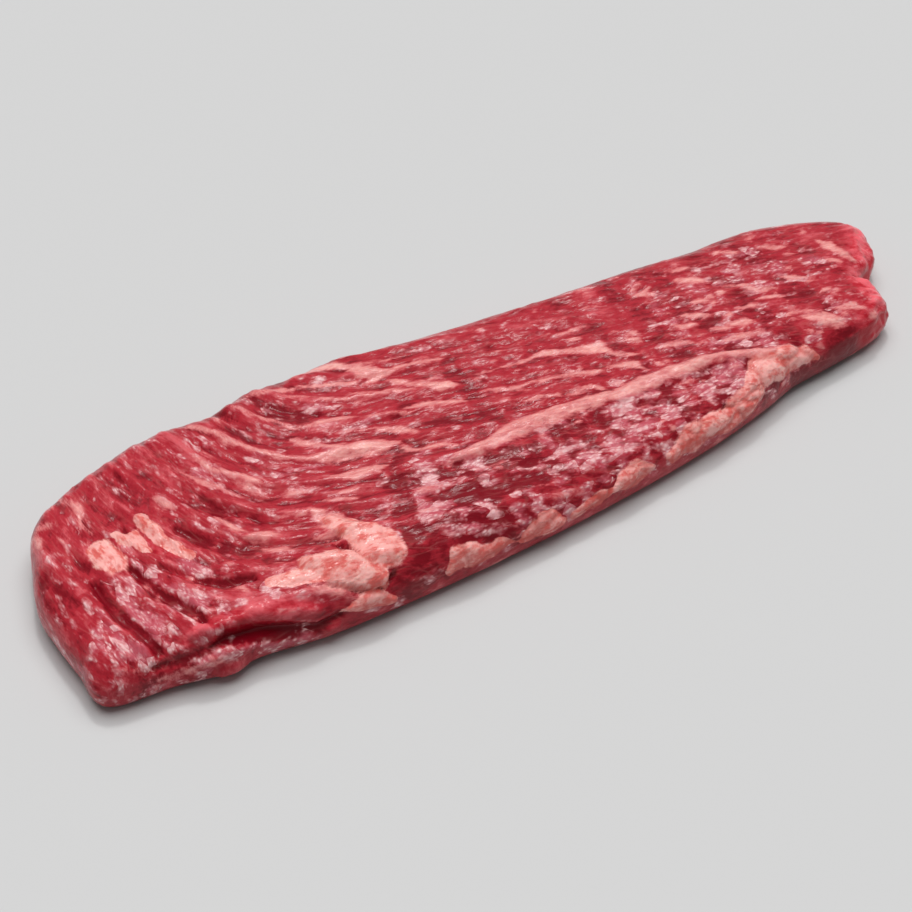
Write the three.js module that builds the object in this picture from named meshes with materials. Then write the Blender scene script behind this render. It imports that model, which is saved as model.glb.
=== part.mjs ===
// A raw skirt steak: one long flat slab of beef, with the grain swept round at its wide end,
// a fat seam along its top, fat along its near edge and a fold at the near corner.
// Millimetres, +Z up. +X runs from the wide end to the narrow end, +Y from the near edge to
// the far edge, and the origin is under the middle of the slab, on the surface it lies on.
import * as THREE from "three";

// Driving dimensions
const CROWN = 21; // height of the flat of the top
const RIM_HEIGHT = 7; // height at which the sides stand out furthest
const UNDERCUT = 6; // how far the sides turn in below the rim
const ROUND_NEAR_WIDE = 16; // width of the rounded near shoulder at the wide end
const ROUND_NEAR_NARROW = 25; // and where the hollow side slopes down to the fat
const ROUND_FAR = 13;
const ROUND_WIDE_END = 13;
const ROUND_NARROW_END = 15;
const THINNER_AT_WIDE_END = 2;
const THINNER_AT_NARROW_END = 1.5;
const BUNDLE = 15; // spacing of the muscle bundles, across the grain
const BUNDLE_DEPTH = 1.3; // from back to valley at the wide end, and a third of it at the narrow end
const GRAIN_KNEE = [-100, 0]; // where the grain turns
const GRAIN_KNEE_DEG = 48; // the line along which it turns, from +X

// The plan outline at the rim, one smooth closed curve through these points, corner to corner
const NEAR_EDGE = [
  [-186, -47.3], [-163, -51.6], [-146, -55.5], [-130, -55.5], [-108, -59], [-85, -60], [-50, -60],
  [-10, -58.5], [30, -55.2], [62, -51], [90.5, -45], [110.5, -39.5], [135.5, -37], [157, -33],
];
const NARROW_END = [[168, -26], [170.5, -15.5], [167.3, -9.5], [180.3, -2.3], [190.8, 9.8]];
const FAR_EDGE = [
  [192.3, 20], [175, 34.5], [148, 43.5], [118, 44], [90, 46.5], [60, 48], [30, 50.5], [5, 53],
  [-18, 56], [-38, 59.5], [-58, 59], [-76, 59.5], [-94, 55], [-110, 56.5], [-127, 54.5], [-146, 49],
  [-160, 43], [-173.5, 34.5],
];
const WIDE_END = [[-182, 15.5], [-187, 1], [-188, -12], [-187.6, -30]];
const OUTLINE_SMOOTHNESS = 40; // samples between two points of the outline

// The grid of the top, with more rows where the edges are round and where the grain runs across
const ROWS_ALONG = 118;
const ROWS_ACROSS = 38;
const ROWS_ON_END = 4;
const ROWS_ON_NEAR_EDGE = 7;
const ROWS_ON_FAR_EDGE = 4;
const ROWS_UNDER_RIM = 3;
const CROWDING = 0.42; // rows along the length are this much closer than average at the wide end

// Grooves and raised lines lie along paths on the surface: [x, y, z], with z at the crown if left out
const GROOVES = [
  { path: [[-168, -49, 13], [-158, -50.8, 13.5], [-143, -51.5, 16]], reach: 4, depth: 1.6 },
  {
    path: [[-147, -52, 15], [-142, -52, 15.5], [-131, -52.8, 13.5], [-122, -55.2, 11], [-107, -57.4, 9.5]],
    reach: 5,
    depth: 4.2,
  },
  { path: [[-133, -4], [-120, -21], [-105, -28], [-90, -34]], reach: 6, depth: 2.2 },
  { path: [[-169, -9], [-169, -28], [-165, -46]], reach: 5, depth: 1.8 },
  { path: [[-156, -10], [-154, -24], [-149, -36], [-147, -44]], reach: 5, depth: 2 },
  { path: [[-146, -14], [-141, -26], [-133, -33], [-124, -36]], reach: 5, depth: 2 },
  { path: [[-132, 24], [-121, 4], [-108, -12]], reach: 5, depth: 1 },
  { path: [[-92, -33], [-88.5, -40], [-87, -47], [-84.5, -55]], reach: 3, depth: 1.4 },
];
// The lean that hangs over the fold, the lip under it, and the knob at its foot
const SWELLINGS = [
  { path: [[-150, -47.5, 18], [-131, -49.5, 18], [-112, -54.5, 14.5]], reach: 5, height: 2.2 },
  { path: [[-152, -54, 11], [-129, -55, 11], [-107, -58.8, 7.5]], reach: 4, height: 1.2 },
  { path: [[-145, -56, 4], [-141, -56.5, 4]], reach: 6, height: 3 },
];
const FAT_SEAM = {
  path: [[-33, -22], [-9, -20], [17, -21], [45, -23], [75, -25], [98, -32, 19], [110, -34, 17]],
  reach: 5.5,
  height: 1.2,
};
// The hollow between the seam and the near edge
const HOLLOW = { path: [[-30, -42], [20, -38], [75, -35, 19]], reach: 12, depth: 1.8 };

// Lumps of fat: [x, y, z, length, width, turn in degrees, height]
const FAT_LUMPS = [
  [-94.5, -46.5, 20.5, 27, 17, -38, 2.3],
  [-81.5, -40, 21, 27, 15, -75, 1.5],
  [-112, -45, 20.5, 26, 11, -22, 0.8],
  [-160.2, 1, 20, 19, 12, 90, 1.6],
  [-150, 2.5, 20, 17, 9, -70, 1.3],
  [-141.5, 3.5, 20.5, 17, 7, -85, 1.1],
  [-138.5, -11.5, 20.5, 13, 7, -65, 0.9],
  [-90.5, -58.6, 12.2, 25, 9, 0, 1.7],
];
// The fat along the near edge is a chain of lumps, one after another along the outline
const EDGE_FAT = {
  from: -60,
  to: 112,
  lumps: 12,
  inset: 3,
  z: 12,
  length: 20,
  width: 12,
  turnDeg: 12,
  height: 2,
};

function smooth(low, high, value) {
  return THREE.MathUtils.smoothstep(value, low, high);
}

// A quarter-round shoulder: 0 at the edge, 1 from width inwards
function shoulder(distance, width) {
  const left = 1 - Math.min(Math.max(distance / width, 0), 1);
  return Math.sqrt(1 - left * left);
}

// The closed outline, sampled along its length, with the index of the point at which each side starts
function outlineSides() {
  const sides = [NEAR_EDGE, NARROW_END, FAR_EDGE, WIDE_END];
  const points = sides.flat().map(([x, y]) => new THREE.Vector3(x, y, 0));
  const curve = new THREE.CatmullRomCurve3(points, true, "catmullrom", 0.5);
  const samples = curve.getPoints(points.length * OUTLINE_SMOOTHNESS);
  const farStart = NEAR_EDGE.length + NARROW_END.length;
  const corners = [0, NEAR_EDGE.length - 1, farStart, farStart + FAR_EDGE.length - 1, points.length];
  return corners.slice(0, -1).map((start, i) =>
    samples.slice(start * OUTLINE_SMOOTHNESS, corners[i + 1] * OUTLINE_SMOOTHNESS + 1),
  );
}

// The point at a share of a side's length
function alongSide(side, share) {
  const lengths = [0];
  for (let i = 1; i < side.length; i++) lengths.push(lengths[i - 1] + side[i].distanceTo(side[i - 1]));
  const wanted = share * lengths.at(-1);
  const next = Math.max(1, lengths.findIndex((l) => l >= wanted - 1e-9));
  const part = (wanted - lengths[next - 1]) / (lengths[next] - lengths[next - 1]);
  return side[next - 1].clone().lerp(side[next], Math.min(part, 1));
}

// Shares from 0 to 1 for the rows of the grid: spaced by angle round each edge, and between the
// edges even, or crowded towards the start
function rowShares(rows, rowsAtStart, rowsAtEnd, roundAtStart, roundAtEnd, crowding = 0) {
  const flatRows = rows - rowsAtStart - rowsAtEnd;
  const onRound = (i, count) => 1 - Math.cos((Math.PI / 2) * (i / count));
  return Array.from({ length: rows + 1 }, (_, i) => {
    if (i < rowsAtStart) return roundAtStart * onRound(i, rowsAtStart);
    if (i > rows - rowsAtEnd) return 1 - roundAtEnd * onRound(rows - i, rowsAtEnd);
    const t = (i - rowsAtStart) / flatRows;
    return THREE.MathUtils.lerp(roundAtStart, 1 - roundAtEnd, t * (1 + crowding * (t - 1)));
  });
}

// Height of the flat of the top, which thins towards both ends
function crownAt(x) {
  return CROWN - THINNER_AT_WIDE_END * smooth(120, 190, -x) - THINNER_AT_NARROW_END * smooth(60, 190, x);
}

// The top without its relief: a patch stretched between the four sides of the outline,
// raised by a round shoulder along each side
function topGrid() {
  const [near, narrow, far, wide] = outlineSides();
  const length = 2 * near[0].distanceTo(new THREE.Vector3());
  const width = near[0].distanceTo(far.at(-1));
  const along = rowShares(
    ROWS_ALONG, ROWS_ON_END, ROWS_ON_END, ROUND_WIDE_END / length, ROUND_NARROW_END / length, CROWDING,
  );
  const across = rowShares(
    ROWS_ACROSS, ROWS_ON_NEAR_EDGE, ROWS_ON_FAR_EDGE, ROUND_NEAR_WIDE / width, ROUND_FAR / width,
  );
  const nearRow = along.map((s) => alongSide(near, s));
  const farRow = along.map((s) => alongSide(far, 1 - s));
  const wideRow = across.map((q) => alongSide(wide, 1 - q));
  const narrowRow = across.map((q) => alongSide(narrow, q));
  const mix = (a, b, t) => a.clone().lerp(b, t);
  return along.map((s, i) =>
    across.map((q, j) => {
      const point = mix(nearRow[i], farRow[i], q)
        .add(mix(wideRow[j], narrowRow[j], s))
        .sub(mix(mix(near[0], near.at(-1), s), mix(far.at(-1), far[0], s), q));
      const spanAcross = nearRow[i].distanceTo(farRow[i]);
      const spanAlong = wideRow[j].distanceTo(narrowRow[j]);
      const roundNear = THREE.MathUtils.lerp(ROUND_NEAR_WIDE, ROUND_NEAR_NARROW, smooth(-60, 20, point.x));
      const rise =
        shoulder(q * spanAcross, roundNear) *
        shoulder((1 - q) * spanAcross, ROUND_FAR) *
        shoulder(s * spanAlong, ROUND_WIDE_END) *
        shoulder((1 - s) * spanAlong, ROUND_NARROW_END);
      point.z = RIM_HEIGHT + (crownAt(point.x) - RIM_HEIGHT) * rise;
      return point;
    }),
  );
}

// The rings under the rim, which turn in to the flat underside
function ringsUnder(rim) {
  const spine = 130; // half the length of the line that the sides turn in towards
  return Array.from({ length: ROWS_UNDER_RIM }, (_, ring) => {
    const angle = (Math.PI / 2) * ((ring + 1) / ROWS_UNDER_RIM);
    return rim.map((p) => {
      const inward = new THREE.Vector3(THREE.MathUtils.clamp(p.x, -spine, spine) - p.x, -p.y, 0).normalize();
      const point = p.clone().addScaledVector(inward, UNDERCUT * (1 - Math.cos(angle)));
      point.z = RIM_HEIGHT * (1 - Math.sin(angle));
      return point;
    });
  });
}

// Distance from a point to a path of straight pieces
function distanceToPath(point, path) {
  const line = new THREE.Line3();
  const nearest = new THREE.Vector3();
  let least = Infinity;
  for (let i = 1; i < path.length; i++) {
    line.set(path[i - 1], path[i]).closestPointToPoint(point, true, nearest);
    least = Math.min(least, nearest.distanceTo(point));
  }
  return least;
}

function asPath(points) {
  return points.map(([x, y, z = CROWN]) => new THREE.Vector3(x, y, z));
}

// A rounded swell that is 1 on its middle and 0 from reach outwards
function swell(distance, reach) {
  const t = Math.min(distance / reach, 1);
  return (1 - t * t) ** 2;
}

// Distance across the grain: the fibres run along lines on which it doesn't change
function acrossGrain(x, y) {
  const turn = THREE.MathUtils.degToRad(GRAIN_KNEE_DEG);
  const dx = x - GRAIN_KNEE[0];
  const dy = y - GRAIN_KNEE[1];
  const onKneeLine = Math.cos(turn) * dx + Math.sin(turn) * dy;
  const pastKnee = Math.sin(turn) * dx - Math.cos(turn) * dy;
  const bend = 7;
  const slopeBefore = -0.62;
  const slopeAfter = 0.466;
  const turned = bend * Math.log1p(Math.exp(pastKnee / bend));
  return onKneeLine - slopeBefore * pastKnee - (slopeAfter - slopeBefore) * turned;
}

// Muscle bundles: round backs that waver along the grain, deepest at the wide end, and that die
// out down the sides
function bundleRelief({ x, y, z }) {
  const waver = 0.5 * Math.sin(x / 19 + y / 23) + 0.35 * Math.sin(x / 31 - y / 17 + 1.3);
  const phase = (2 * Math.PI * acrossGrain(x, y)) / BUNDLE + waver;
  const depth = BUNDLE_DEPTH * (1 - 0.67 * smooth(-80, 30, x));
  const low = THREE.MathUtils.lerp(RIM_HEIGHT + 7, CROWN - 5, smooth(5, 30, y));
  return (depth / 2) * Math.cos(phase) * smooth(low, CROWN - 0.3, z);
}

function lumpRelief(point, [x, y, z, length, width, turnDeg, height]) {
  const turn = THREE.MathUtils.degToRad(turnDeg);
  const dx = point.x - x;
  const dy = point.y - y;
  const alongLump = (Math.cos(turn) * dx + Math.sin(turn) * dy) / (length / 2);
  const acrossLump = (Math.cos(turn) * dy - Math.sin(turn) * dx) / (width / 2);
  const down = (point.z - z) / (width / 2);
  return height * swell(Math.hypot(alongLump, acrossLump, down), 1.15);
}

function edgeFatLumps() {
  const near = new THREE.CatmullRomCurve3(NEAR_EDGE.map(([x, y]) => new THREE.Vector3(x, y, 0)));
  const places = near.getSpacedPoints(400);
  return Array.from({ length: EDGE_FAT.lumps }, (_, i) => {
    const x = THREE.MathUtils.lerp(EDGE_FAT.from, EDGE_FAT.to, i / (EDGE_FAT.lumps - 1));
    const y = places.find((p) => p.x >= x).y + EDGE_FAT.inset;
    const uneven = Math.sin(i * 2.4);
    const size = [EDGE_FAT.length + 3 * uneven, EDGE_FAT.width - uneven];
    return [x, y + uneven, EDGE_FAT.z + uneven, ...size, EDGE_FAT.turnDeg, EDGE_FAT.height + 0.4 * uneven];
  });
}

// How far the surface stands out of its smooth form at a point
function reliefAt() {
  const onSurface = (line) => ({ ...line, path: asPath(line.path) });
  const grooves = GROOVES.map(onSurface);
  const swellings = SWELLINGS.map(onSurface);
  const seam = asPath(FAT_SEAM.path);
  const hollow = asPath(HOLLOW.path);
  const lumps = [...FAT_LUMPS, ...edgeFatLumps()];
  return (point) => {
    let out = bundleRelief(point);
    out -= HOLLOW.depth * swell(distanceToPath(point, hollow), HOLLOW.reach);
    out += FAT_SEAM.height * swell(distanceToPath(point, seam), FAT_SEAM.reach);
    out += Math.max(...lumps.map((lump) => lumpRelief(point, lump)));
    out += Math.max(...swellings.map((s) => s.height * swell(distanceToPath(point, s.path), s.reach)));
    const deepest = Math.max(...grooves.map((g) => g.depth * swell(distanceToPath(point, g.path), g.reach)));
    return out - deepest;
  };
}

// The closed surface: the top grid, the rings under its rim and a fan over the flat underside
function steakGeometry() {
  const grid = topGrid();
  const lastRow = grid.length - 1;
  const lastPlace = grid[0].length - 1;
  const id = (i, j) => i * (lastPlace + 1) + j;
  const rimIds = [
    ...grid.slice(0, -1).map((_, i) => id(i, 0)),
    ...grid[0].slice(0, -1).map((_, j) => id(lastRow, j)),
    ...grid.slice(1).map((_, i) => id(lastRow - i, lastPlace)),
    ...grid[0].slice(1).map((_, j) => id(0, lastPlace - j)),
  ];
  const points = grid.flat();
  const faces = [];
  for (let i = 0; i < lastRow; i++)
    for (let j = 0; j < lastPlace; j++)
      faces.push(id(i, j), id(i + 1, j), id(i + 1, j + 1), id(i, j), id(i + 1, j + 1), id(i, j + 1));
  let ringIds = rimIds;
  for (const ring of ringsUnder(rimIds.map((k) => points[k]))) {
    const next = ring.map((_, k) => points.length + k);
    points.push(...ring);
    for (let k = 0; k < ring.length; k++) {
      const m = (k + 1) % ring.length;
      faces.push(ringIds[m], ringIds[k], next[k], ringIds[m], next[k], next[m]);
    }
    ringIds = next;
  }
  const centre = points.push(new THREE.Vector3(0, 0, 0)) - 1;
  ringIds.forEach((k, n) => faces.push(ringIds[(n + 1) % ringIds.length], k, centre));
  return new THREE.BufferGeometry().setFromPoints(points).setIndex(faces);
}

// Moves each point along its normal by the relief, which dies out towards the underside
function addRelief(geometry) {
  geometry.computeVertexNormals();
  const { position, normal } = geometry.attributes;
  const relief = reliefAt();
  const point = new THREE.Vector3();
  const out = new THREE.Vector3();
  for (let i = 0; i < position.count; i++) {
    point.fromBufferAttribute(position, i);
    out.fromBufferAttribute(normal, i);
    point.addScaledVector(out, relief(point) * smooth(0, RIM_HEIGHT, point.z));
    position.setXYZ(i, point.x, point.y, Math.max(point.z, 0));
  }
}

// Puts the origin under the middle of the slab
function standOnOrigin(geometry) {
  geometry.computeBoundingBox();
  const { min, max } = geometry.boundingBox;
  geometry.translate(-(min.x + max.x) / 2, -(min.y + max.y) / 2, -min.z);
}

function beefMaterial() {
  return new THREE.MeshStandardMaterial({ color: "#a8323a", roughness: 0.35, metalness: 0 });
}

function makeSteak() {
  const geometry = steakGeometry();
  addRelief(geometry);
  standOnOrigin(geometry);
  geometry.computeVertexNormals();
  const steak = new THREE.Mesh(geometry, beefMaterial());
  steak.name = "steak";
  return steak;
}

const group = new THREE.Group();
group.add(makeSteak());

export default group;
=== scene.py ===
"""A raw skirt steak on a pale studio floor, laid out as a Blender add-on and run as a script.

The steak is one closed surface: a grid over its top, rings that turn in below its rim and a
coarser grid over its underside. All shapes are worked out in millimetres, on whole numpy arrays,
in the steak's own frame: +X along it from the wide end to the narrow end, +Y from the near edge
to the far edge, +Z up, with the origin under its middle.
"""

import math

import bpy
import numpy as np
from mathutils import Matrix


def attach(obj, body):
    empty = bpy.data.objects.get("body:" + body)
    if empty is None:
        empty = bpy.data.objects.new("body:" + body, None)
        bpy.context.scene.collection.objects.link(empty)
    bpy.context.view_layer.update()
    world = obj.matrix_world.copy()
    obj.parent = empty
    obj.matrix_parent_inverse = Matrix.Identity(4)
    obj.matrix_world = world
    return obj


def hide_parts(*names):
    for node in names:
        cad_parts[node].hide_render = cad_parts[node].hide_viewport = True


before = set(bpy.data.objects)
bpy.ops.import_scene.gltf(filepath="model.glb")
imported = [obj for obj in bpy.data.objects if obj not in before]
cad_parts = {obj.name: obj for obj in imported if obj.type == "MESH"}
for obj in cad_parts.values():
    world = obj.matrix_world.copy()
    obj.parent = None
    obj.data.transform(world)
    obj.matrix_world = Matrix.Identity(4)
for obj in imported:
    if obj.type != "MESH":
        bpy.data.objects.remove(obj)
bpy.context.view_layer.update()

bl_info = {
    "name": "Skirt steak",
    "version": (1, 0, 0),
    "blender": (4, 5, 0),
    "location": "View3D > Sidebar > Steak",
    "description": "Builds a raw skirt steak with its grain, fat and moist membrane, and a plain studio",
    "category": "Add Mesh",
}

MM = 0.001

# Form, in millimetres: the same named sizes as the solid has
CROWN = 21.0
RIM_HEIGHT = 7.0
UNDERCUT = 6.0
ROUND_NEAR_WIDE = 16.0
ROUND_NEAR_NARROW = 25.0
ROUND_FAR = 13.0
ROUND_WIDE_END = 13.0
ROUND_NARROW_END = 15.0
THINNER_AT_WIDE_END = 2.0
THINNER_AT_NARROW_END = 1.5
# Half the length of the line along the middle that the sides turn in towards
SPINE = 130.0
# Heights between which the sides turn into the top
SHOULDER_FOOT = RIM_HEIGHT + 7
SHOULDER_BACK = CROWN - 2

# The plan outline at the rim, one smooth closed curve through these points
NEAR_EDGE = [
    (-186, -47.3), (-163, -51.6), (-146, -55.5), (-130, -55.5), (-108, -59), (-85, -60), (-50, -60),
    (-10, -58.5), (30, -55.2), (62, -51), (90.5, -45), (110.5, -39.5), (135.5, -37), (157, -33),
]
NARROW_END = [(168, -26), (170.5, -15.5), (167.3, -9.5), (180.3, -2.3), (190.8, 9.8)]
FAR_EDGE = [
    (192.3, 20), (175, 34.5), (148, 43.5), (118, 44), (90, 46.5), (60, 48), (30, 50.5), (5, 53),
    (-18, 56), (-38, 59.5), (-58, 59), (-76, 59.5), (-94, 55), (-110, 56.5), (-127, 54.5), (-146, 49),
    (-160, 43), (-173.5, 34.5),
]
WIDE_END = [(-182, 15.5), (-187, 1), (-188, -12), (-187.6, -30)]
OUTLINE_SMOOTHNESS = 40

# The grid of the top; the underside has half as many rows each way
ROWS_ALONG = 480
ROWS_ACROSS = 150
ROWS_ON_END = 18
ROWS_ON_NEAR_EDGE = 30
ROWS_ON_FAR_EDGE = 18
ROWS_UNDER_RIM = 8

# Grain: the fibres turn at a line through the knee
KNEE = (-100.0, 0.0)
KNEE_DEG = 48.0
KNEE_BEND = 7.0
SLOPE_BEFORE = -0.62
SLOPE_AFTER = 0.466
FAR_CORNER_SLOPE = 0.4
FAR_CORNER_START = -50.0
ACROSS_STRETCH = 1.14
# The bundles' wave swings this far, and by this share less at the narrow end
RIDGE_SWING = 2.4
SHALLOWER_BUNDLES = 0.67
# Rows of flecks across the narrow half, and bands of membrane below the seam
ROW_START = 83.0
ROW_SPACING = 20.7
BAND_SPACING = 9.5
# A streak is at its full strength this far inside its outline
STREAK_REACH = 1.9

# Every path below is a list of (x, y, width) on the top, measured in plan, or of
# (x, y, z, width) round the edges, measured in space. The number before a path is a height
# or a depth.

# The fold, the valleys and creases between the bundles, and the cracks beside the fat
GROOVES = [
    (1.6, [(-168, -49, 13, 4), (-158, -50.8, 13.5, 6), (-150, -52, 14.5, 7), (-143, -51.5, 16, 7)]),
    (4.2, [(-149, -52, 14.5, 3), (-142, -52, 15.5, 8), (-131, -52.8, 13.5, 10), (-122, -55.2, 10.8, 9),
           (-112, -57.2, 8.6, 7), (-103, -57.6, 11, 4)]),
    (1.6, [(-134, 0, 3), (-128, -11, 5), (-120, -21, 5), (-105, -28, 5), (-92, -34, 3)]),
    (1.5, [(-134, -2, 8), (-122, -20, 14), (-105, -28, 12), (-90, -34, 6)]),
    (2.0, [(-169, -8, 4), (-169, -28, 8), (-165, -46, 6)]),
    (2.4, [(-156, -9, 4), (-154, -24, 8), (-149, -36, 8), (-147, -44, 5)]),
    (2.4, [(-147, -14, 4), (-141, -26, 7), (-133, -33, 7), (-124, -36, 5)]),
    (0.9, [(-132, 24, 5), (-121, 4, 9), (-108, -12, 6)]),
    (0.8, [(-108, 38, 2), (-104, 28, 5), (-98, 18, 2)]),
    (0.8, [(-77, 42, 2), (-70, 34, 5.5), (-62, 27, 2)]),
    (0.6, [(-45, 31, 2), (-36, 26, 5)]),
    (0.5, [(-54, -12, 8), (-60, -26, 12), (-67, -42, 12), (-70, -53, 9)]),
    (0.4, [(-5, 30, 8), (-8, 12, 12), (-9, -4, 12), (-8, -14, 6)]),
    (2.0, [(-92, -37, 2.5), (-90, -41, 3.5), (-88, -48, 3.5), (-84.5, -55, 3)]),
    (2.0, [(-104, -52, 19, 2.5), (-99.5, -54, 18, 3), (-95, -56.5, 16, 3.5), (-90.5, -58, 14.5, 3.5),
           (-85.5, -58, 14.5, 3), (-81, -56.5, 16.5, 3)]),
    (1.4, [(69, -45.8, 15.8, 2.5), (72.5, -46.3, 14.8, 3), (78, -45.7, 14.2, 2.5), (84, -45.3, 13, 2)]),
    (1.2, [(86.5, -43.4, 13.5, 2), (88, -41.5, 15, 2.5), (90.5, -39.8, 16, 2)]),
]
# The hollow between the seam and the near edge
HOLLOW = (1.8, [(-30, -42, 16), (20, -38, 24), (75, -34, 20)])

# Fat between the bundles, mostly along the grain; the seam is the longest
SEAM = [(-33, -22, 5), (-18, -22, 8), (-9, -20, 9), (5, -20.5, 10), (17, -21, 9), (30, -23, 8),
        (45, -23, 8), (60, -24, 8), (75, -25, 7), (88, -28, 6), (98, -32, 7), (110, -34, 5)]
STREAKS = [
    SEAM,
    [(-174, -49.5, 9, 2), (-164, -50.7, 9, 3.5), (-156, -52, 9.5, 4), (-147, -54, 11, 3)],
    [(-130, -50, 19, 2), (-121, -52.5, 17, 4), (-112, -55, 14.5, 3)],
    [(-110, -50, 18, 5), (-103, -53, 17, 7), (-96, -56, 14.5, 5)],
    [(-90, -20, 6), (-87, -27, 11), (-84, -33, 12)],
    [(-105, 48, 3), (-99, 36, 4), (-96, 28, 5), (-91, 20, 4), (-85, 12, 4), (-79, 7, 3),
     (-70, 4, 7), (-58, 0, 8), (-51, -2, 6)],
    [(-88, 49, 2), (-84, 40, 3), (-78, 31, 2.5), (-73, 25, 3), (-65, 21, 2)],
    [(-76, 20, 3), (-71, 12, 5), (-66, 6, 4)],
    [(-76, 51, 5), (-66, 46, 5), (-56, 42, 3), (-46, 38, 4), (-38, 34, 2)],
    [(-65, 40, 3), (-56, 33, 3), (-46, 25, 2)],
    [(-64, 22, 4), (-56, 20, 4), (-50, 15, 2), (-42, 12, 3), (-34, 9, 2)],
    [(-48, 7, 3), (-42, 3, 6), (-38, 0, 3)],
    [(-77, -7, 3), (-68, -9, 8), (-60, -11, 6)],
    [(-34, 12, 4), (-26, 10, 5), (-18, 7, 4), (-12, 4, 4)],
    [(-29, 28, 5), (-23, 22, 4), (-16, 17, 6), (-11, 14, 5)],
    [(-33, 34, 6), (-27, 34, 6), (-19, 33, 4), (-6, 30, 4)],
    [(-42, 48, 4), (-35, 40, 9), (-30, 36, 6)],
    [(-54, 51, 7), (-46, 52, 8), (-38, 46, 4), (-28, 43, 3), (-18, 39, 2)],
    [(-37, 26, 2), (-31, 23, 3), (-26, 21, 2)],
    [(-47, -6, 3), (-38, -10, 4), (-29, -15, 3)],
    [(-2, 4, 3), (9, 0, 3), (22, -2, 3), (30, -4, 4), (39, -8, 3)],
    [(-1, 15, 2), (12, 13, 2.5), (22, 13, 3), (28, 12, 5), (34, 9, 3), (41, 6, 6), (47, 4, 9),
     (50, -3, 4), (56, -7, 3)],
    [(5, -8, 2), (12, -10, 4), (18, -12, 2)],
    [(20, -14, 2), (31, -14, 4), (34, -18, 3)],
    [(46, -9, 4), (52, -11, 6), (54, -17, 3)],
    [(41, 19, 3), (45, 19, 4), (50, 18, 2)],
    [(-122, 30, 1.5), (-113, 12, 3), (-108, 3, 3)],
    [(-112, 30, 1.5), (-104, 12, 5), (-99, 5, 3)],
    [(-120, -4, 2.5), (-118, -9, 4), (-115, -14, 3)],
    [(-114, -19, 5), (-110, -21, 5)],
    [(-84, -16, 2), (-79, -19, 4), (-75, -22, 2)],
    [(-160, 36, 3), (-159, 27, 4), (-160, 15, 2)],
    [(-176, 27, 4), (-176, 21, 4)],
    [(-173, 29, 3), (-171, 27, 3)],
    [(-134, 17, 3), (-132, 12, 5)],
    [(80, 23, 3), (83, 22, 5), (86, 20, 3)],
    [(78, 10, 2), (83, 7, 3)],
    [(99, 22, 4), (105, 21, 6), (108, 18, 3)],
    [(121, 2, 5), (125, 0, 5)],
    [(120, -5, 4), (125, -7, 5.5)],
    [(138, 1, 4), (141, -1, 5)],
    [(101, -12, 4), (105, -14, 5)],
    [(93, -11, 4), (96, -13, 4)],
    [(81, -1, 4), (85, -4, 4)],
    [(144, -25, 5), (149, -27, 5)],
    [(151, -31, 14.5, 4), (155, -31.5, 14.5, 5)],
    [(114, 8, 4), (119, 6, 5)],
    [(108, -4, 3), (113, -6, 5)],
    [(88, 1, 4), (93, -1, 4)],
    [(96, 8, 4), (100, 6, 5)],
    [(143, 22, 4), (148, 20, 5)],
    [(126, 29, 3), (130, 27, 4)],
    [(165, 13, 4), (166.5, 8, 6), (168, 2, 6), (170, -2, 3)],
    [(128, -23, 5), (133, -26, 9), (138, -31, 6)],
    [(91, -19, 3), (99, -20, 4), (107, -21, 3)],
    [(70, -9, 4), (76, -11, 5), (81, -15, 2)],
    [(84, 33, 2), (88, 29, 2)],
    [(101, 29, 2), (107, 28, 3)],
]

# Places where the membrane is thick and pale
VEILS = [
    [(-176, -30, 8), (-174, -38, 10), (-170, -44, 8)],
    [(-163, -12, 5), (-162, -26, 9), (-161, -34, 11), (-163, -42, 9)],
    [(-153, -10, 6), (-151, -20, 7), (-148, -32, 8), (-144, -38, 7)],
    [(-147, -16, 7), (-141, -20, 8), (-136, -24, 7)],
    [(-125, -23, 5), (-128, -29, 8)],
    [(-136, -43, 6), (-128, -41, 7)],
    [(-152, -53, 12.5, 4), (-140, -54.5, 12.5, 7), (-128, -55.5, 9.5, 7), (-112, -58, 7, 5)],
    [(-109, 22, 4), (-104, 12, 5)],
    [(-86, 3, 5), (-79, 2, 7)],
    [(-66, 30, 8), (-60, 28, 6)],
    [(-16, 24, 5), (-8, 22, 6)],
    [(-73, -37, 5), (-72, -46, 7)],
    [(-44, -17, 7), (-36, -21, 8), (-30, -25, 8)],
    [(-56, -27, 9), (-47, -30, 9)],
    [(-61, -40, 5), (-56, -40, 7), (-51, -41, 5)],
    [(-43, -46, 6), (-38, -45, 7)],
    [(-24, -19, 7), (-16, -22, 7)],
    [(-16, -29, 4), (-17, -36, 5)],
    [(0, -28, 5), (1, -34, 5)],
    [(-4, -43, 8), (5, -42, 10), (10, -46, 7)],
    [(21, -45, 8), (28, -42, 7), (38, -42, 8), (50, -40, 7)],
    [(25, -36, 5), (37, -32, 7), (48, -31, 6)],
    [(58, -33, 7), (66, -36, 8), (76, -35, 9), (84, -37, 9)],
    [(88, -18, 5), (97, -20, 7), (106, -22, 5)],
    [(69, -9, 5), (77, -14, 8)],
    [(82, 13, 5), (80, 1, 6)],
    [(101, 16, 6), (103, 11, 6)],
    [(122, 15, 8), (123, 3, 8)],
    [(136, 14, 7), (139, 8, 8)],
    [(138, 0, 5), (141, -4, 5)],
    [(153, 7, 6), (155, 3, 6)],
    [(144, -24, 7), (151, -27, 6)],
]

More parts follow.
